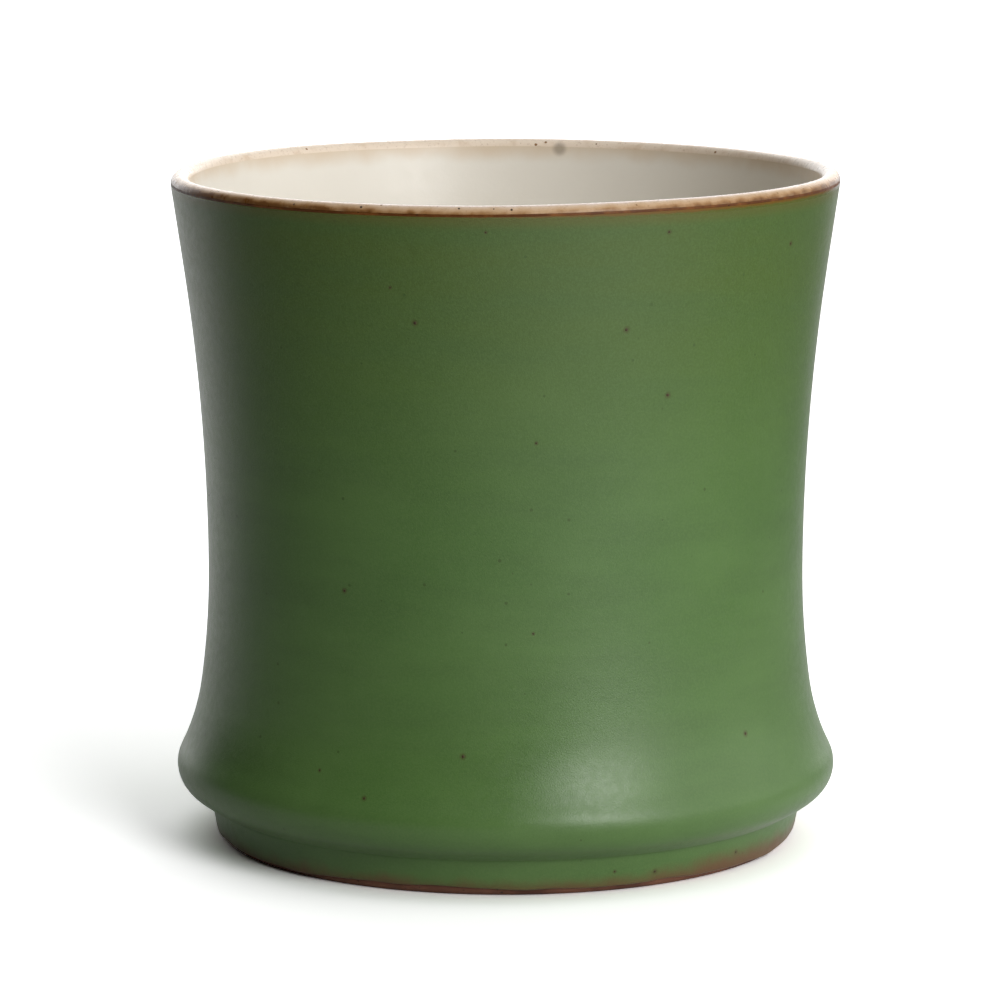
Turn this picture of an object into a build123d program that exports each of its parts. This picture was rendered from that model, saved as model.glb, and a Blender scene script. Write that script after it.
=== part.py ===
from build123d import *

import os
from math import atan2, cos, degrees, hypot, radians, sin, tan

# A waisted stoneware brush pot, as its clay body and the glazes fired onto it.
# Every section is a half profile, with x out from the pot's axis and y up, turned about the axis.
# The origin is on the axis, in the plane that the pot stands on. Lengths are in millimetres.

# Overall
pot_height = 101.0
rim_radius = 50.0  # out to the widest point of the lip

# Side, from the lip down to the bulge
waist_height = 41.3
waist_depth = 5.0  # how far the waist is drawn in from the rim
flare_run = 12.8  # length of the straight run below the lip
bulge_proud = 5.0  # how far the bulge stands out from the waist
bulge_round = 4.6  # radius of the bulge's nose
bulge_turn = 26.4  # degrees up the nose from its widest point, where the hip takes over
hip_run = 5.6  # from the end of the nose to the crossing of the hip's two tangents

# Foot
step_height = 5.5  # the corner between the foot and the bulge's underside
step_depth = 5.0  # how far that corner stands in from the bulge
step_round = 0.8  # glaze pools in the corner
underside_slope = 29.2  # degrees above level
foot_draft = 12.0  # degrees that the foot's side leans in, going down
foot_edge_round = 1.1
foot_ring_width = 5.4
foot_inner_round = 1.0
recess_depth = 3.0
recess_draft = 12.0  # degrees that the recess's side leans in, going up
recess_corner_round = 1.4

# Wall and floor
lip_thickness = 2.8
wall_thickness = 4.0  # at the waist
floor_thickness = 5.6
hollow_side_round = 160.0  # radius of the hollow's side below the waist
floor_corner_round = 9.0

# Glazes
outer_glaze = 0.45
inner_glaze = 0.40
lip_glaze = 0.30
base_glaze = 0.35
lip_glaze_drop = 1.1  # from the rim's top down to the lip glaze's edge, inside and out
iron_line_width = 0.4
foot_bare_height = 1.0  # clay left bare above the table, outside
recess_bare_height = 1.6  # and inside the foot ring

lip_round = lip_thickness / 2
lip_centre = Vector(rim_radius - lip_round, pot_height - lip_round)
waist = Vector(rim_radius - waist_depth, waist_height)
bulge_radius = waist.X + bulge_proud
step = Vector(bulge_radius - step_depth, step_height)
foot_radius = step.X - step_height * tan(radians(foot_draft))  # where the foot's side meets the table
recess_radius = foot_radius - foot_ring_width
floor_height = recess_depth + floor_thickness
glaze_zone = 2 * max(outer_glaze, inner_glaze, base_glaze)  # into the wall, past every glaze
beyond = 20.0  # how far a shape that only cuts reaches past the pot
upright = Vector(0, 1)


def heading(angle):
    """A unit vector at that many degrees above level."""
    return Vector(cos(radians(angle)), sin(radians(angle)))


def left_of(direction):
    """The direction a quarter turn anticlockwise, which on these outlines points into the clay."""
    return Vector(-direction.Y, direction.X)


def outline(stations, depth):
    """Edges through stations, each a point and a heading, with the clay on the left.

    The edges lie at that depth in the clay. Stations with the same heading are joined by a straight
    line, and others by an arc that is tangent to both headings.
    """
    edges = []
    for (start, start_heading), (end, end_heading) in zip(stations, stations[1:]):
        start_point = start + left_of(start_heading) * depth
        end_point = end + left_of(end_heading) * depth
        if (start_heading - end_heading).length < 1e-9:
            edges.append(Line(start_point, end_point))
        else:
            edges.append(TangentArc(start_point, end_point, tangent=start_heading))
    return edges


def filled(edges, *corners):
    """The section inside edges, closed through corners."""
    return make_face([*edges, Polyline(edges[-1] @ 1, *corners, edges[0] @ 0)])


def flare(waist_point, side):
    """Stations from the waist up to the lip: one arc, then the straight run that meets the lip's round.

    side is 1 for the pot's outside and -1 for its hollow. Both end beside the centre of the lip's round.
    """
    middle = waist_point.X - side * lip_round
    rise = lip_centre.Y - waist_point.Y
    lean = 2 * degrees(atan2(lip_centre.X - middle, rise + flare_run))
    direction = heading(90 - lean)
    lip_side = lip_centre - left_of(direction) * side * lip_round
    return [(waist_point, upright), (lip_side - direction * flare_run, direction), (lip_side, direction)]


def hip(nose_end, nose_heading):
    """The station between the hip's tight lower arc and the long arc that runs up to the waist."""
    to_waist = waist - nose_end
    turn = 1 - nose_heading.dot(upright)
    upper_run = (to_waist.length**2 - 2 * hip_run * to_waist.dot(nose_heading)) / 2
    upper_run /= to_waist.dot(upright) + hip_run * turn
    lower_corner = nose_end + nose_heading * hip_run
    upper_corner = waist - upright * upper_run
    direction = (upper_corner - lower_corner).normalized()
    return lower_corner + direction * hip_run, direction


def outside(depth):
    """All within the pot's outside, from the table up to its top, which the hollow cuts back to the lip."""
    foot_heading = heading(90 - foot_draft)
    underside = heading(underside_slope)
    corner_run = step_round * tan(radians(90 - foot_draft - underside_slope) / 2)
    nose_reach = bulge_round * (1 - underside.Y)
    underside_run = (step_depth - nose_reach) / underside.X
    nose_start = step + underside * underside_run
    nose_centre = nose_start + left_of(underside) * bulge_round
    nose_end = nose_centre + heading(bulge_turn) * bulge_round
    nose_heading = left_of(heading(bulge_turn))
    stations = [
        (step - foot_heading * beyond, foot_heading),
        (step - foot_heading * corner_run, foot_heading),
        (step + underside * corner_run, underside),
        (nose_start, underside),
        (nose_end, nose_heading),
        hip(nose_end, nose_heading),
        *flare(waist, 1),
    ]
    corners = [lip_centre, (lip_centre.X, pot_height), (0, pot_height), (0, -beyond)]
    return filled(outline(stations, depth), *corners) & band(0, pot_height)


def hollow(depth):
    """All within the hollow, from the floor up past the lip's centre."""
    side_waist = Vector(waist.X - wall_thickness, waist_height)
    side_centre = side_waist + Vector(hollow_side_round, 0)
    corner_height = floor_height + floor_corner_round
    drop = side_centre.Y - corner_height
    reach = ((hollow_side_round + floor_corner_round) ** 2 - drop**2) ** 0.5
    corner_centre = Vector(side_centre.X - reach, corner_height)
    to_side = (side_centre - corner_centre).normalized()
    stations = [
        (corner_centre - upright * floor_corner_round, Vector(1, 0)),
        (corner_centre + to_side * floor_corner_round, left_of(to_side)),
        *flare(side_waist, -1),
    ]
    top = pot_height + beyond
    # Going up the hollow's side the clay is on the right, so the depth is negative.
    corners = [lip_centre, (lip_centre.X, top), (0, top), (0, floor_height - depth)]
    return filled(outline(stations, -depth), *corners)


def lip(depth):
    """The full round along the top of the wall."""
    return Pos(lip_centre) * Circle(lip_round - depth)


def recess(depth):
    """All within the recess under the floor."""
    wall = heading(90 + recess_draft)
    ceiling = recess_depth + depth
    foot = Vector(recess_radius + depth / wall.Y, 0)
    corner = foot + wall * (ceiling / wall.Y)
    section = make_face(Polyline((0, 0), foot, corner, (0, ceiling), (0, 0)))
    return fillet(nearest_vertex(section, corner), recess_corner_round + depth)


def nearest_vertex(section, point):
    """The corner of a section that is nearest to a point."""
    return section.vertices().sort_by(lambda vertex: hypot(vertex.X - point.X, vertex.Y - point.Y))[0]


def band(low, high):
    """All between two heights, from the axis out."""
    width = rim_radius + beyond
    return Pos(width / 2, (low + high) / 2) * Rectangle(width, high - low)


def pot(outer_depth, inner_depth, lip_depth, base_depth):
    """The pot's section, with each face taken back by its own depth."""
    wall = outside(outer_depth) - hollow(inner_depth)
    return wall + lip(lip_depth) - recess(base_depth)


def clay():
    """The clay body, with the foot ring's two edges rounded."""
    section = pot(outer_glaze, inner_glaze, lip_glaze, base_glaze)
    section = fillet(nearest_vertex(section, Vector(foot_radius, 0)), foot_edge_round)
    return fillet(nearest_vertex(section, Vector(recess_radius, 0)), foot_inner_round)


clay_section = clay()
glaze = pot(0, 0, 0, 0) - clay_section
inner_zone = hollow(glaze_zone)
base_zone = recess(glaze_zone)
outer_side = glaze - inner_zone - base_zone
lip_glaze_edge = pot_height - lip_glaze_drop
iron_line_edge = lip_glaze_edge - iron_line_width

sections = {
    "clay_body": clay_section,
    "green_outer_glaze": outer_side & band(foot_bare_height, iron_line_edge),
    "lip_iron_line": outer_side & band(iron_line_edge, lip_glaze_edge),
    "lip_glaze": glaze & band(lip_glaze_edge, pot_height),
    "white_inner_glaze": glaze & inner_zone & band(recess_depth, lip_glaze_edge),
    "base_glaze": glaze & base_zone & band(recess_bare_height, floor_height),
}

os.makedirs("parts", exist_ok=True)
for name, section in sections.items():
    body = revolve(Plane.XZ * section, Axis.Z)
    export_step(body, f"parts/{name}.step")
    print(name, "solids", len(body.solids()), "volume", round(body.volume, 1))
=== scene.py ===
import math

import bmesh
import bpy
import numpy as np
from mathutils import Matrix, Vector, geometry, noise


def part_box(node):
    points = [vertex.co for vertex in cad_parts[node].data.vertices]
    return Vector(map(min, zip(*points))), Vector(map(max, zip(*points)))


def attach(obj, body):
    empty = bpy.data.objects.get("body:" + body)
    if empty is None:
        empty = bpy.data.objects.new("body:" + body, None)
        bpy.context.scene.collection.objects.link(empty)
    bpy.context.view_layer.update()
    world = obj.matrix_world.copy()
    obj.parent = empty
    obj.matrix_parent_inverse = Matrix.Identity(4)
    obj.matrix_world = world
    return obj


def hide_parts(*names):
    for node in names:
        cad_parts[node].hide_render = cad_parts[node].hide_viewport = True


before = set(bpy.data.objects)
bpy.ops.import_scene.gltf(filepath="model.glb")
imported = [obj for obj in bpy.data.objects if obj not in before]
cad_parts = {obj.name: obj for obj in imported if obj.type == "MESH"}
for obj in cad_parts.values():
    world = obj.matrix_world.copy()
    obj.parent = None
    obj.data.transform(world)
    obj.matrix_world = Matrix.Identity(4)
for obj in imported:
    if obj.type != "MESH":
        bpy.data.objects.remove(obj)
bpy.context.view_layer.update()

# ---- Clay body ----
# The pot is one piece of iron-bearing stoneware, thrown on a wheel and turned on the foot. Once fired
# it shows only on the ring that it stands on, where the glaze was wiped off: red-brown and gritty.

mm = 0.001
pot_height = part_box("lip_glaze")[1].z
rim_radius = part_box("lip_iron_line")[1].x
corner_angle = math.radians(28)


def section(node, soften=0.0):
    """The outline of a CAD layer from the pot's axis out, as points in order, and whether it closes.

    Corners are softened by that much, as glaze draws itself round when it melts.
    """
    bm = bmesh.new()
    bm.from_mesh(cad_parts[node].data)
    bmesh.ops.remove_doubles(bm, verts=bm.verts, dist=1e-7)
    everything = bm.verts[:] + bm.edges[:] + bm.faces[:]
    bmesh.ops.bisect_plane(bm, geom=everything, plane_no=(0, 1, 0), clear_inner=True, clear_outer=True)
    bmesh.ops.remove_doubles(bm, verts=bm.verts, dist=1e-6)
    # The half towards +X is kept, and it ends on the axis.
    whole_cut = bm.verts[:] + bm.edges[:]
    bmesh.ops.bisect_plane(bm, geom=whole_cut, plane_no=(1, 0, 0), clear_inner=True)
    corners = [v for v in bm.verts if len(v.link_edges) == 2 and bend(v) > corner_angle]
    if soften:
        bmesh.ops.bevel(
            bm, geom=corners, offset=soften, segments=5, profile=0.5, affect="VERTICES", material=-1
        )
    ends = [v for v in bm.verts if len(v.link_edges) == 1]
    vert = min(ends or bm.verts, key=lambda v: v.co.z)
    points, edge = [vert.co.copy()], None
    while len(points) < len(bm.verts):
        edge = next(e for e in vert.link_edges if e != edge)
        vert = edge.other_vert(vert)
        points.append(vert.co.copy())
    bm.free()
    return points, not ends


def bend(vert):
    """How far an outline turns at a vertex, in radians."""
    one, other = (e.other_vert(vert).co - vert.co for e in vert.link_edges)
    return math.pi - one.angle(other)


def refined(points, closed, spacing):
    """The outline with points at most that far apart, on the arcs through its own points."""
    count = len(points)
    wrap = (lambda i: points[i % count]) if closed else (lambda i: points[min(max(i, 0), count - 1)])
    fine = []
    for i in range(count if closed else count - 1):
        before, start, end, after = (wrap(i + k) for k in (-1, 0, 1, 2))
        chord = end - start
        out_of = tangent(start - before, chord)
        into = tangent(after - end, chord)
        handle = chord.length / 3
        pieces = math.ceil(chord.length / spacing)
        run = geometry.interpolate_bezier(
            start, start + out_of * handle, end - into * handle, end, pieces + 1
        )
        fine += run[:-1]
    return fine if closed else fine + [points[-1]]


def tangent(neighbour, chord):
    """The heading at a point between two chords, or the chord's own heading at a corner."""
    if neighbour.length < 1e-9 or neighbour.angle(chord) > corner_angle:
        return chord.normalized()
    return (neighbour.normalized() * chord.length + chord.normalized() * neighbour.length).normalized()


def by_hand(place):
    """Moves points as the potter's hands did: a little out of round, with a rim that isn't quite level."""
    x, y, z = place.T
    angle = np.arctan2(y, x)
    height = np.clip(z / pot_height, 0, 1)
    radius = np.hypot(x, y)
    reach = np.clip(radius / rim_radius, 0, 1)
    push = 0.16 * mm * np.cos(2 * angle - 0.7) * height**2 + 0.07 * mm * np.cos(3 * angle + 1.9) * height
    push += 0.05 * mm * np.cos(5 * angle + 0.4) * height * (1 - height)
    lift = 0.17 * np.cos(angle) - 0.12 * np.sin(angle) - 0.16 * np.sin(2 * angle)
    lift += (0.04 * np.sin(5 * angle + 1) + 0.02 * np.sin(9 * angle)) * height**3
    scale = 1 + push * reach / np.maximum(radius, 1e-6)
    return np.column_stack((x * scale, y * scale, z + lift * mm * height**3 * reach))


def turned(name, outline, closed, shape=None, steps=180):
    """A piece whose outline is turned about the pot's axis, then unevenly shaped.

    shape moves its points, before the potter's hands do.
    """
    bm = bmesh.new()
    verts = [bm.verts.new(point) for point in outline]
    pairs = zip(verts, verts[1:] + verts[:1] if closed else verts[1:])
    edges = [bm.edges.new(pair) for pair in pairs]
    bmesh.ops.spin(
        bm,
        geom=verts + edges,
        axis=(0, 0, 1),
        cent=(0, 0, 0),
        angle=2 * math.pi,
        steps=steps,
        use_merge=True,
    )
    bmesh.ops.remove_doubles(bm, verts=bm.verts, dist=1e-6)
    bmesh.ops.recalc_face_normals(bm, faces=bm.faces)
    mesh = bpy.data.meshes.new(name)
    bm.to_mesh(mesh)
    bm.free()
    place = np.empty(len(mesh.vertices) * 3)
    mesh.vertices.foreach_get("co", place)
    place = place.reshape(-1, 3)
    if shape:
        place = shape(place)
    mesh.vertices.foreach_set("co", by_hand(place).ravel())
    mesh.update()
    mesh.shade_smooth()
    mesh.set_sharp_from_angle(angle=corner_angle)
    piece = bpy.data.objects.new(name, mesh)
    bpy.context.collection.objects.link(piece)
    return piece


def finished(piece, material, slot, *nodes):
    """Gives a piece its material, sets it under the pot's root, and hides the CAD parts that it stands
    for.
    """
    piece.data.materials.clear()
    piece.data.materials.append(material)
    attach(piece, "root")
    if nodes:
        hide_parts(*nodes)


class Recipe:
    """A material's shader nodes. Lengths are in metres on the piece itself."""

    def __init__(self, name):
        self.material = bpy.data.materials.new(name)
        self.material.use_nodes = True
        self.tree = self.material.node_tree
        self.shader = self.tree.nodes["Principled BSDF"]
        self.place = self.node("ShaderNodeTexCoord").outputs["Object"]

    def node(self, kind, inputs=None, **settings):
        """Adds a node. An input is a value, or the output that feeds it."""
        made = self.tree.nodes.new(kind)
        for key, value in settings.items():
            setattr(made, key, value)
        for key, value in (inputs or {}).items():
            if isinstance(value, bpy.types.NodeSocket):
                self.tree.links.new(value, made.inputs[key])
            else:
                made.inputs[key].default_value = value
        return made

    def worked_out(self, operation, one, other=0.0):
        """One number from two, by a Math node's operation."""
        return self.node("ShaderNodeMath", {0: one, 1: other}, operation=operation).outputs[0]

    def noise(self, size, detail=2.0, roughness=0.5, place=None):
        """Cloudy noise whose clouds are about that size, from 0 to 1."""
        inputs = {
            "Vector": place or self.place,
            "Scale": 1 / size,
            "Detail": detail,
            "Roughness": roughness,
        }
        return self.node("ShaderNodeTexNoise", inputs).outputs["Fac"]

    def stretched(self, x, y, z):
        """The place, with a pattern on it drawn out by those factors."""
        inputs = {"Vector": self.place, "Scale": (1 / x, 1 / y, 1 / z)}
        return self.node("ShaderNodeMapping", inputs).outputs[0]

    def fade(self, value, start, end, low=0.0, high=1.0):
        """Goes smoothly from low to high as value goes from start to end."""
        inputs = {"Value": value, "From Min": start, "From Max": end, "To Min": low, "To Max": high}
        return self.node("ShaderNodeMapRange", inputs, interpolation_type="SMOOTHSTEP").outputs[0]

    def mix(self, amount, one, other):
        """One colour where amount is 0, the other where it is 1."""
        inputs = {0: amount, 6: one, 7: other}
        return self.node("ShaderNodeMix", inputs, data_type="RGBA").outputs[2]

    def dots(self, size, share):
        """1 in round dots scattered over the piece, in that share of cells of that size."""
        inputs = {"Vector": self.place, "Scale": 1 / size}
        cells = self.node("ShaderNodeTexVoronoi", inputs)
        draw = self.node("ShaderNodeSeparateColor", {0: cells.outputs["Color"]}).outputs
        chosen = self.worked_out("LESS_THAN", draw[0], share)
        width = self.fade(draw[1], 0, 1, 0.12, 0.34)
        inside = self.worked_out("SUBTRACT", width, cells.outputs["Distance"])
        return self.worked_out("MULTIPLY", self.fade(inside, 0, 0.1), chosen)

    def bump(self, height, depth):
        """Raises the surface by that depth where height is 1, on top of any bump before."""
        made = self.node("ShaderNodeBump", {"Height": height, "Distance": depth})
        if self.shader.inputs["Normal"].is_linked:
            before = self.shader.inputs["Normal"].links[0].from_socket
            self.tree.links.new(before, made.inputs["Normal"])
        self.tree.links.new(made.outputs[0], self.shader.inputs["Normal"])

    def colour(self, value):
        self.tree.links.new(value, self.shader.inputs["Base Color"])

    def roughness(self, value):
        self.tree.links.new(value, self.shader.inputs["Roughness"])


def paint(red, green, blue):
    """A colour as it looks, from 0 to 255, as the light it sends back."""
    linear = [((c / 255 + 0.055) / 1.055) ** 2.4 for c in (red, green, blue)]
    return (*linear, 1.0)


def fired_clay():
    """Red-brown stoneware, darker where the fire flashed it, with sand in it."""
    clay = Recipe("fired_clay")
    body = clay.mix(clay.fade(clay.noise(9 * mm, 3), 0.35, 0.65), paint(92, 54, 40), paint(128, 84, 62))
    grit = clay.mix(clay.dots(0.7 * mm, 0.35), body, paint(66, 42, 32))
    clay.colour(clay.mix(clay.dots(1.1 * mm, 0.06), grit, paint(150, 118, 94)))
    clay.roughness(clay.fade(clay.noise(2 * mm), 0.3, 0.7, 0.62, 0.82))
    clay.bump(clay.noise(0.35 * mm, 4, 0.65), 0.05 * mm)
    return clay.material


clay_line, clay_closes = section("clay_body")
clay_piece = turned("clay_pot", refined(clay_line, clay_closes, 2.0 * mm), clay_closes)
finished(clay_piece, fired_clay(), "fired_clay", "clay_body")

# ---- White inner glaze ----
# A cream white satin glaze, poured in and swilled round. It is thin enough to keep the faint rings that
# the potter's fingers left in the wall and the floor.

floor_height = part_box("white_inner_glaze")[0].z
wall_ring_pitch = 8.5 * mm
wall_ring_depth = 0.10 * mm
floor_ring_pitch = 6.5 * mm
floor_ring_depth = 0.09 * mm


def finger_rings(place):
    """Shallow rings that climb the inside like a screw thread."""
    x, y, z = place.T
    radius = np.hypot(x, y)
    turn = np.arctan2(y, x) / (2 * math.pi)
    up = np.clip((z - floor_height) / (pot_height - floor_height), 0, 1)
    on_wall = np.clip((up - 0.12) / 0.1, 0, 1) * np.clip((0.93 - up) / 0.1, 0, 1)
    on_floor = np.clip((0.06 - up) / 0.04, 0, 1) * np.clip(radius / (6 * mm), 0, 1)
    push = wall_ring_depth * np.sin(2 * math.pi * (z / wall_ring_pitch - turn)) * on_wall
    lift = floor_ring_depth * np.sin(2 * math.pi * (radius / floor_ring_pitch - turn)) * on_floor
    scale = 1 + push / np.maximum(radius, 1e-6)
    return np.column_stack((x * scale, y * scale, z + lift))


def smudged(recipe, base):
    """The colour with a grey smudge of ash, where the hollow's back meets the lip."""
    place = Vector((8.6 * mm, 46.4 * mm, 99.5 * mm))
    away = recipe.node("ShaderNodeVectorMath", {0: recipe.place, 1: place}, operation="DISTANCE")
    grey = recipe.fade(away.outputs["Value"], 0.4 * mm, 1.5 * mm, 0.6, 0)
    return recipe.mix(grey, base, paint(140, 126, 110))


def white_glaze():
    """Cream white, warmer where it runs thin near the lip, with a few stray iron dots."""
    white = Recipe("white_glaze")
    height = white.node("ShaderNodeSeparateXYZ", {0: white.place}).outputs["Z"]
    base = white.mix(white.noise(14 * mm, 2), paint(241, 236, 225), paint(235, 229, 217))
    wander = white.worked_out("MULTIPLY", white.noise(6 * mm, 3), 2.4 * mm)
    below_lip = white.worked_out("ADD", height, wander)
    near_lip = white.fade(below_lip, pot_height - 2.8 * mm, pot_height + 0.6 * mm)
    base = white.mix(near_lip, base, paint(222, 203, 178))
    base = white.mix(white.dots(2.2 * mm, 0.012), base, paint(190, 174, 148))
    white.colour(smudged(white, base))
    white.roughness(white.fade(white.noise(1.5 * mm), 0.3, 0.7, 0.3, 0.42))
    white.bump(white.noise(0.6 * mm, 3, 0.6), 0.012 * mm)
    return white.material


white_line, white_closes = section("white_inner_glaze")
white_piece = turned(
    "white_inner_coat", refined(white_line, white_closes, 0.9 * mm), white_closes, finger_rings
)
finished(white_piece, white_glaze(), "white_glaze", "white_inner_glaze")

# ---- Green outer glaze ----
# A satin copper green glaze, sprayed on and wiped back above the foot, hardest on the +X side. Its edge
# wanders and is rolled round. It goes brown where it is thin, olive just under the lip, and dark round
# the specks where iron in the clay has burnt through.

green_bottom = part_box("green_outer_glaze")[0].z
green_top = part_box("green_outer_glaze")[1].z
edge_softening = 0.2 * mm
hard_wiping_starts = 12 * mm  # out from the axis towards +X
hard_wiping_full = 36 * mm
hard_wiping_rise = 1.1 * mm  # how much higher the brown reaches there
# Iron specks, as degrees round from the front towards +X, height and width.
green_specks = [
    (-15.7, 84.1 * mm, 0.75 * mm),
    (21.1, 82.9 * mm, 0.8 * mm),
    (29.9, 72.9 * mm, 0.8 * mm),
    (5.4, 66.8 * mm, 0.5 * mm),
    (-31.2, 44.1 * mm, 0.7 * mm),
    (5.0, 39.0 * mm, 0.45 * mm),
    (-7.6, 21.3 * mm, 0.75 * mm),
    (-24.8, 14.7 * mm, 0.65 * mm),
    (-34.6, 17.7 * mm, 0.5 * mm),
    (48.9, 21.3 * mm, 0.8 * mm),
    (27.9, 96.8 * mm, 0.6 * mm),
    (57.4, 93.1 * mm, 0.7 * mm),
    (-3.3, 97.4 * mm, 0.45 * mm),
    (-19.8, 89.1 * mm, 0.45 * mm),
    (20.8, 3.2 * mm, 0.5 * mm),
    (49.8, 3.0 * mm, 0.6 * mm),
    (29.3, 2.5 * mm, 0.7 * mm),
    (96.0, 58.0 * mm, 0.7 * mm),
    (118.0, 88.0 * mm, 0.5 * mm),
    (134.0, 30.0 * mm, 0.8 * mm),
    (151.0, 74.0 * mm, 0.6 * mm),
    (166.0, 47.0 * mm, 0.5 * mm),
    (187.0, 91.0 * mm, 0.7 * mm),
    (203.0, 22.0 * mm, 0.6 * mm),
    (221.0, 65.0 * mm, 0.8 * mm),
    (238.0, 38.0 * mm, 0.5 * mm),
    (255.0, 80.0 * mm, 0.6 * mm),
    (281.0, 53.0 * mm, 0.7 * mm),
]


def wiped_edge(place):
    """The glaze's lower edge rises and falls where the sponge went round."""
    x, y, z = place.T
    angle = np.arctan2(y, x)
    near_edge = np.clip(1 - (z - green_bottom) / (2.2 * mm), 0, 1) ** 2
    wave = 0.22 * np.sin(3 * angle + 0.6) + 0.14 * np.sin(7 * angle + 2.1) + 0.08 * np.sin(17 * angle)
    wave += 0.05 * np.sin(31 * angle + 1.3)
    return np.column_stack((x, y, z + wave * mm * near_edge))


def green_glaze():
    """Leaf green, finely mottled, with brown edges and a dark stain round each iron speck."""
    green = Recipe("green_glaze")
    across, _, height = green.node("ShaderNodeSeparateXYZ", {0: green.place}).outputs
    clouds = green.fade(green.noise(22 * mm, 3, 0.55), 0.3, 0.7)
    thick = green.mix(clouds, paint(82, 116, 58), paint(90, 123, 65))
    run_down = green.fade(height, 0.45 * pot_height, 1.05 * pot_height)
    base = green.mix(run_down, thick, paint(82, 102, 46))
    drawn_round = green.noise(9 * mm, 3, 0.6, green.stretched(3, 3, 0.5))
    base = green.mix(green.fade(drawn_round, 0.3, 0.75, 0, 0.45), base, paint(76, 104, 56))
    grain = green.fade(green.noise(0.35 * mm, 3, 0.7), 0.35, 0.7, 0, 0.3)
    base = green.mix(grain, base, paint(104, 134, 76))
    base = green.mix(green.dots(0.9 * mm, 0.02), base, paint(74, 98, 48))

    wander = green.worked_out("MULTIPLY", green.noise(5 * mm, 4, 0.6), 3.0 * mm)
    wiped_thin = green.fade(across, hard_wiping_starts, hard_wiping_full, 0, hard_wiping_rise)
    above_edge = green.worked_out("SUBTRACT", green.worked_out("SUBTRACT", height, wander), wiped_thin)
    thin_foot = green.fade(above_edge, green_bottom - 2.4 * mm, green_bottom + 0.9 * mm, 0.9, 0)
    base = green.mix(thin_foot, base, paint(112, 74, 50))
    fine_wander = green.worked_out("MULTIPLY", green.noise(1.6 * mm, 3, 0.6), 0.5 * mm)
    below_lip = green.worked_out("ADD", height, fine_wander)
    thin_top = green.fade(below_lip, green_top + 0.1 * mm, green_top + 0.45 * mm, 0, 0.8)
    base = green.mix(thin_top, base, paint(128, 80, 30))
    under_rim = green.fade(height, green_top - 2.2 * mm, green_top - 0.2 * mm, 0, 0.35)
    base = green.mix(under_rim, base, paint(116, 92, 40))

    burnt = 0.0
    for degrees, speck_height, width in green_specks:
        spot, _ = aimed(green_piece, degrees, speck_height)
        distance = green.node(
            "ShaderNodeVectorMath", {0: green.place, 1: spot}, operation="DISTANCE"
        ).outputs["Value"]
        ring = green.fade(distance, width * 0.3, width * 0.95, 0.6, 0)
        burnt = green.worked_out("MAXIMUM", burnt, ring)
    green.colour(green.mix(burnt, base, paint(76, 72, 36)))
    satin = green.fade(green.noise(1.2 * mm, 2), 0.3, 0.7, 0.3, 0.37)
    at_top = green.fade(height, green_top - 0.45 * mm, green_top - 0.1 * mm, 0, 0.2)
    green.roughness(green.worked_out("SUBTRACT", satin, at_top))
    green.bump(green.noise(0.22 * mm, 3, 0.6), 0.026 * mm)
    green.bump(green.noise(6 * mm, 2), 0.02 * mm)
    green.shader.inputs["Sheen Weight"].default_value = 0.2
    green.shader.inputs["Sheen Roughness"].default_value = 0.25
    return green.material


def aimed(piece, degrees, height):
    """Where a level ray from outside at that bearing meets a piece, and the way out there."""
    out = Vector((math.sin(math.radians(degrees)), -math.cos(math.radians(degrees)), 0))
    start = out * 2 * rim_radius + Vector((0, 0, height))
    _, place, normal, _ = piece.ray_cast(start, -out)
    return place, normal


green_line, green_closes = section("green_outer_glaze", soften=edge_softening)
green_piece = turned(
    "green_outer_coat", refined(green_line, green_closes, 0.9 * mm), green_closes, wiped_edge
)
finished(green_piece, green_glaze(), "green_glaze", "green_outer_glaze")

# ---- Glaze under the base ----
# The same green, brushed thinly over the recess inside the foot ring, so the wheel's turning marks
# show through it and its edge is uneven.

recess_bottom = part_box("base_glaze")[0].z
coarse_mark_pitch = 2.6 * mm
fine_mark_pitch = 1.1 * mm
marks_end = 34 * mm  # out from the axis


def turning_marks(place):
    """Fine rings left by the turning tool, and a wandering edge."""
    x, y, z = place.T
    radius = np.hypot(x, y)
    angle = np.arctan2(y, x)
    rings = 0.035 * np.sin(2 * math.pi * radius / coarse_mark_pitch)
    rings += 0.02 * np.sin(2 * math.pi * radius / fine_mark_pitch)
    rings *= np.clip(radius / (3 * mm), 0, 1) * np.clip((marks_end - radius) / (2 * mm), 0, 1)
    edge = 0.2 * np.sin(4 * angle) + 0.1 * np.sin(9 * angle + 1)
    near_edge = np.clip(1 - (z - recess_bottom) / (1.0 * mm), 0, 1) ** 2
    return np.column_stack((x, y, z + (rings + edge * near_edge) * mm))


def base_green_glaze():
    """Thin green, browner than on the wall."""
    base = Recipe("base_green_glaze")
    patches = base.fade(base.noise(8 * mm, 4, 0.6), 0.35, 0.7)
    cover = base.mix(patches, paint(84, 104, 56), paint(100, 92, 54))
    base.colour(base.mix(base.dots(1.4 * mm, 0.15), cover, paint(66, 60, 36)))
    base.roughness(base.fade(base.noise(1.2 * mm), 0.3, 0.7, 0.38, 0.5))
    base.bump(base.noise(0.42 * mm, 3, 0.6), 0.02 * mm)
    return base.material


base_line, base_closes = section("base_glaze")
base_piece = turned(
    "base_coat", refined(base_line, base_closes, 0.8 * mm), base_closes, turning_marks
)
finished(base_piece, base_green_glaze(), "base_green_glaze", "base_glaze")

# ---- Iron line under the lip ----
# A thin line of iron glaze where the green stops short of the lip. It lies about a tenth of a
# millimetre lower than the coats on either side, and its brown is lighter in places.


def sunk(place):
    """Lies below the coats beside it, by a little more in some places than in others."""
    x, y, z = place.T
    radius = np.hypot(x, y)
    angle = np.arctan2(y, x)
    depth = 0.09 + 0.02 * np.sin(6 * angle) + 0.015 * np.sin(23 * angle + 1)
    scale = 1 - depth * mm / radius
    return np.column_stack((x * scale, y * scale, z))


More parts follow.
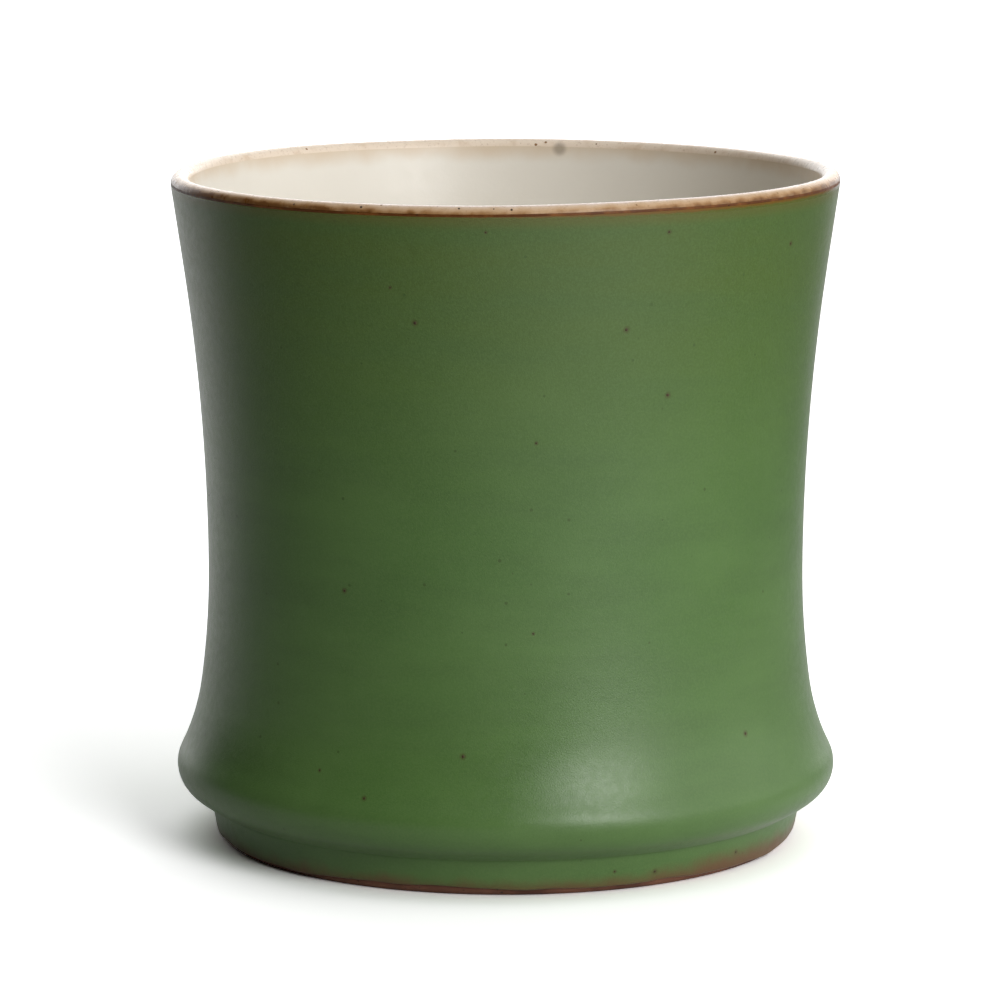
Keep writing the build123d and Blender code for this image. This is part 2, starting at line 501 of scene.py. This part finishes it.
def iron_glaze():
    """Dark iron brown that breaks to a lighter brown."""
    iron = Recipe("iron_brown_glaze")
    around = iron.noise(4 * mm, 4, 0.65)
    tone = iron.mix(iron.fade(around, 0.4, 0.75), paint(98, 54, 18), paint(140, 86, 36))
    iron.colour(iron.mix(iron.dots(0.6 * mm, 0.2), tone, paint(66, 38, 16)))
    iron.roughness(iron.fade(iron.noise(1 * mm), 0.3, 0.7, 0.36, 0.5))
    iron.bump(iron.noise(0.4 * mm, 3), 0.015 * mm)
    iron.shader.inputs["Specular IOR Level"].default_value = 0.25
    return iron.material


iron_line, iron_closes = section("lip_iron_line")
iron_piece = turned("lip_line", refined(iron_line, iron_closes, 0.3 * mm), iron_closes, sunk, steps=360)
finished(iron_piece, iron_glaze(), "iron_brown_glaze", "lip_iron_line")

# ---- Lip glaze ----
# The white glaze thins over the round of the lip, and the iron in the clay stains it: pinkish white
# on the crest, tan outside, and brown down at the iron line, with dots and grains of iron.

lip_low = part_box("lip_glaze")[0].z
lip_line, lip_closes = section("lip_glaze")
# From the hollow outwards, these are the coat's face and the clay under it, and then the outside's two.
lower_edges = sorted(point.x for point in lip_line if point.z < lip_low + 0.001 * mm)
lip_round = (rim_radius - lower_edges[1]) / 2


def tan_glaze():
    """Coloured by the way round the lip's section, from the hollow's side over to the outside."""
    tan = Recipe("tan_glaze")
    parts = tan.node("ShaderNodeSeparateXYZ", {0: tan.place}).outputs
    level = tan.node("ShaderNodeCombineXYZ", {"X": parts["X"], "Y": parts["Y"]}).outputs[0]
    radius = tan.node("ShaderNodeVectorMath", {0: level}, operation="LENGTH").outputs["Value"]
    across = tan.worked_out("SUBTRACT", radius, rim_radius - lip_round)
    wander = tan.fade(tan.noise(2.2 * mm, 3, 0.5), 0.2, 0.8, -0.16 * mm, 0.16 * mm)
    across = tan.worked_out("ADD", across, wander)
    share = tan.fade(across, -lip_round, lip_round)
    ramp = tan.node("ShaderNodeValToRGB", {0: share})
    stops = [
        (0.0, paint(236, 219, 199)),
        (0.2, paint(236, 217, 199)),
        (0.5, paint(232, 214, 202)),
        (0.75, paint(220, 193, 164)),
        (0.93, paint(198, 163, 125)),
        (0.985, paint(158, 116, 72)),
        (1.0, paint(116, 76, 38)),
    ]
    while len(ramp.color_ramp.elements) < len(stops):
        ramp.color_ramp.elements.new(0.5)
    for element, (position, tint) in zip(ramp.color_ramp.elements, stops):
        element.position = position
        element.color = tint
    stained = tan.mix(tan.dots(0.8 * mm, 0.08), ramp.outputs[0], paint(140, 104, 66))
    grains = tan.fade(tan.noise(0.45 * mm, 3, 0.7), 0.56, 0.7, 0, 0.3)
    stained = tan.mix(grains, stained, paint(150, 106, 66))
    patches = tan.fade(tan.noise(3.5 * mm, 3, 0.55), 0.5, 0.75, 0, 0.35)
    stained = tan.mix(patches, stained, paint(196, 162, 122))
    tan.colour(smudged(tan, stained))
    tan.roughness(tan.fade(tan.noise(1 * mm), 0.3, 0.7, 0.26, 0.36))
    tan.shader.inputs["Specular IOR Level"].default_value = 0.3
    tan.bump(tan.noise(0.9 * mm, 2, 0.5), 0.015 * mm)
    return tan.material


lip_piece = turned("lip_coat", refined(lip_line, lip_closes, 0.25 * mm), lip_closes, steps=360)
finished(lip_piece, tan_glaze(), "tan_glaze", "lip_glaze")

# ---- Iron specks ----
# Grains of iron in the clay melt and burn through the glaze as low, dark, irregular beads. Each bead
# is a flattened ball, half sunk in the coat.

bead_flatness = 0.16  # its thickness as a share of its width


def beads(name, places):
    """Low beads, each at a place on a coat, facing its way out, with its own width."""
    bm = bmesh.new()
    for place, out, width in places:
        ball = bmesh.ops.create_icosphere(bm, subdivisions=2, radius=0.5)["verts"]
        for vert in ball:
            vert.co *= 1 + 0.35 * noise.noise(vert.co * 3 + place * 900)
        turn = out.to_track_quat("Z", "Y").to_matrix().to_4x4()
        flattened = Matrix.Diagonal((width, width, width * bead_flatness, 1))
        shape = Matrix.Translation(place) @ turn @ flattened
        bmesh.ops.transform(bm, matrix=shape, verts=ball)
    mesh = bpy.data.meshes.new(name)
    bm.to_mesh(mesh)
    bm.free()
    mesh.shade_smooth()
    piece = bpy.data.objects.new(name, mesh)
    bpy.context.collection.objects.link(piece)
    return piece


def iron_bead():
    """Iron melted to a dark, dull brown."""
    bead = Recipe("iron_bead")
    bead.colour(bead.mix(bead.noise(0.3 * mm, 3), paint(52, 38, 20), paint(78, 56, 28)))
    bead.roughness(bead.fade(bead.noise(0.4 * mm), 0.3, 0.7, 0.45, 0.6))
    return bead.material


# Iron specks on the lip, as degrees round from the front towards +X, height and width.
lip_specks = [
    (-37.3, 100.3 * mm, 0.4 * mm),
    (-24.4, 100.5 * mm, 0.5 * mm),
    (-7.7, 100.7 * mm, 0.4 * mm),
    (0.9, 100.6 * mm, 0.45 * mm),
    (-2.0, 100.7 * mm, 0.3 * mm),
    (142.0, 100.4 * mm, 0.4 * mm),
    (231.0, 100.5 * mm, 0.45 * mm),
]
# A bead is narrower than its speck. On the green, the rest of the speck is stain in the glaze.
bead_on_green = 0.55
bead_on_lip = 0.8
speck_places = []
for degrees, height, width in green_specks:
    speck_places.append((*aimed(green_piece, degrees, height), width * bead_on_green))
for degrees, height, width in lip_specks:
    speck_places.append((*aimed(lip_piece, degrees, height), width * bead_on_lip))
speck_piece = beads("iron_specks", speck_places)
finished(speck_piece, iron_bead(), "iron_brown_glaze")

# ---- Floor, lights and camera ----
# A white sweep, a soft box to the front right, and white boards behind, overhead, to the right and low
# at the front right. The camera sees the sweep as plain white. The pot gets less light back from it,
# and least from a place on either side, as if dark cloth lay there.

dark_places = [(-0.45, -0.25, 0), (0.55, 0.2, 0)]
dark_reach = 0.28  # metres round each dark place
bright_beyond = 0.58
dark_bounce = 0.1
bright_bounce = 0.9
seen_white = 1.8
camera_place = (-0.00085, -0.7726, 0.1824)
camera_tilt = 9.665  # degrees down


def toward(bearing, elevation):
    """The way out from the pot at that many degrees round from the front towards +X, and up."""
    around, up = math.radians(bearing), math.radians(elevation)
    return Vector((math.sin(around) * math.cos(up), -math.cos(around) * math.cos(up), math.sin(up)))


def soft_box(bearing, elevation, spread, strength):
    """A soft light so far off that it falls evenly on the pot."""
    lamp = bpy.data.lights.new("soft_box", "SUN")
    lamp.energy = strength
    lamp.angle = math.radians(spread)
    holder = bpy.data.objects.new("soft_box", lamp)
    holder.rotation_euler = toward(bearing, elevation).to_track_quat("Z", "Y").to_euler()
    bpy.context.collection.objects.link(holder)


def sweep():
    """The paper that the pot stands on."""
    bm = bmesh.new()
    bmesh.ops.create_grid(bm, x_segments=1, y_segments=1, size=6)
    mesh = bpy.data.meshes.new("sweep")
    bm.to_mesh(mesh)
    bm.free()
    paper = bpy.data.objects.new("sweep", mesh)
    bpy.context.collection.objects.link(paper)
    material = bpy.data.materials.new("sweep_paper")
    material.use_nodes = True
    tree = material.node_tree
    tree.nodes.remove(tree.nodes["Principled BSDF"])
    seen = tree.nodes.new("ShaderNodeBsdfDiffuse")
    seen.inputs["Color"].default_value = (seen_white, seen_white, seen_white, 1)
    bounced = tree.nodes.new("ShaderNodeBsdfDiffuse")
    place = tree.nodes.new("ShaderNodeTexCoord").outputs["Object"]
    nearer = tree.nodes.new("ShaderNodeMath")
    nearer.operation = "MINIMUM"
    for side, dark_place in enumerate(dark_places):
        away = tree.nodes.new("ShaderNodeVectorMath")
        away.operation = "DISTANCE"
        away.inputs[1].default_value = dark_place
        tree.links.new(place, away.inputs[0])
        tree.links.new(away.outputs["Value"], nearer.inputs[side])
    bright = tree.nodes.new("ShaderNodeMapRange")
    bright.interpolation_type = "SMOOTHSTEP"
    bright.inputs["From Min"].default_value = dark_reach
    bright.inputs["From Max"].default_value = bright_beyond
    bright.inputs["To Min"].default_value = dark_bounce
    bright.inputs["To Max"].default_value = bright_bounce
    tree.links.new(nearer.outputs[0], bright.inputs["Value"])
    tree.links.new(bright.outputs[0], bounced.inputs["Color"])
    path = tree.nodes.new("ShaderNodeLightPath")
    either = tree.nodes.new("ShaderNodeMixShader")
    tree.links.new(path.outputs["Is Camera Ray"], either.inputs[0])
    tree.links.new(bounced.outputs[0], either.inputs[1])
    tree.links.new(seen.outputs[0], either.inputs[2])
    tree.links.new(either.outputs[0], tree.nodes["Material Output"].inputs["Surface"])
    mesh.materials.append(material)


def boards(*places):
    """White boards round the pot, each by its bearing, elevation, reach in degrees and strength.

    The camera sees plain white beyond the sweep.
    """
    world = bpy.data.worlds.new("boards")
    bpy.context.scene.world = world
    world.use_nodes = True
    tree = world.node_tree
    shade = tree.nodes["Background"]
    aim = tree.nodes.new("ShaderNodeTexCoord").outputs["Generated"]
    path = tree.nodes.new("ShaderNodeLightPath")
    light = path.outputs["Is Camera Ray"]
    for bearing, elevation, reach, strength in places:
        facing = tree.nodes.new("ShaderNodeVectorMath")
        facing.operation = "DOT_PRODUCT"
        facing.inputs[1].default_value = toward(bearing, elevation)
        tree.links.new(aim, facing.inputs[0])
        board = tree.nodes.new("ShaderNodeMapRange")
        board.interpolation_type = "SMOOTHSTEP"
        board.inputs["From Min"].default_value = math.cos(math.radians(reach))
        board.inputs["To Max"].default_value = strength
        tree.links.new(facing.outputs["Value"], board.inputs["Value"])
        both = tree.nodes.new("ShaderNodeMath")
        tree.links.new(light, both.inputs[0])
        tree.links.new(board.outputs[0], both.inputs[1])
        light = both.outputs[0]
    tree.links.new(light, shade.inputs["Strength"])
    shade.inputs["Color"].default_value = (1, 1, 1, 1)


sweep()
soft_box(bearing=34, elevation=26, spread=27, strength=1.28)
boards((180, 10, 50, 2.6), (40, 2, 20, 2.6), (80, 15, 60, 1.15), (0, 90, 50, 0.8))

camera_data = bpy.data.cameras.new("camera")
camera_data.sensor_width = 36
camera_data.lens = 186.2
camera_data.clip_start = 0.01
camera = bpy.data.objects.new("camera", camera_data)
camera.location = camera_place
camera.rotation_euler = (math.radians(90 - camera_tilt), 0, 0)
bpy.context.collection.objects.link(camera)
bpy.context.scene.camera = camera
bpy.context.scene.view_settings.view_transform = "Standard"
